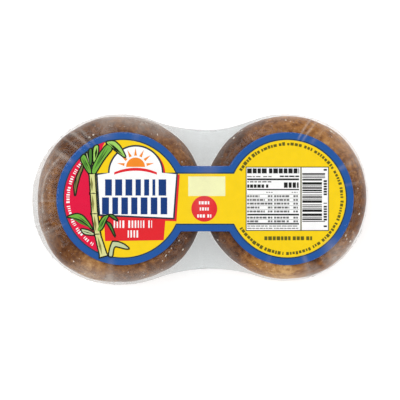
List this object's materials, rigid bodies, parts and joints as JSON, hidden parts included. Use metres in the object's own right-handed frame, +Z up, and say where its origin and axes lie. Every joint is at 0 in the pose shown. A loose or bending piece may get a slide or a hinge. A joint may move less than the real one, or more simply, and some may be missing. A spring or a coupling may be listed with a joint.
{
  "type": "twin pack of round brown sugar cakes in clear shrink film",
  "caption": "Round cakes of unrefined brown sugar held side by side under a dumbbell-shaped printed card, sealed in clear shrink film with a narrow waist; lies flat with the card up.",
  "frame": {"origin": "middle of the pack's footprint, on the surface that the cakes' flat undersides rest on", "axes": "+X runs along the pair from the darker cake to the lighter one, +Y runs across the pack, +Z is up through the printed side of the card"},
  "size_m": [0.1634, 0.0832, 0.0348],
  "materials": {
    "dark_sugar": "satin",
    "golden_sugar": "satin",
    "printed_card": "satin",
    "clear_film": "gloss"
  },
  "bodies": {
    "root": {"sugar_cake_left": "dark_sugar", "sugar_cake_right": "golden_sugar", "label_card": "printed_card", "shrink_film": "clear_film"}
  },
  "joints": []
}
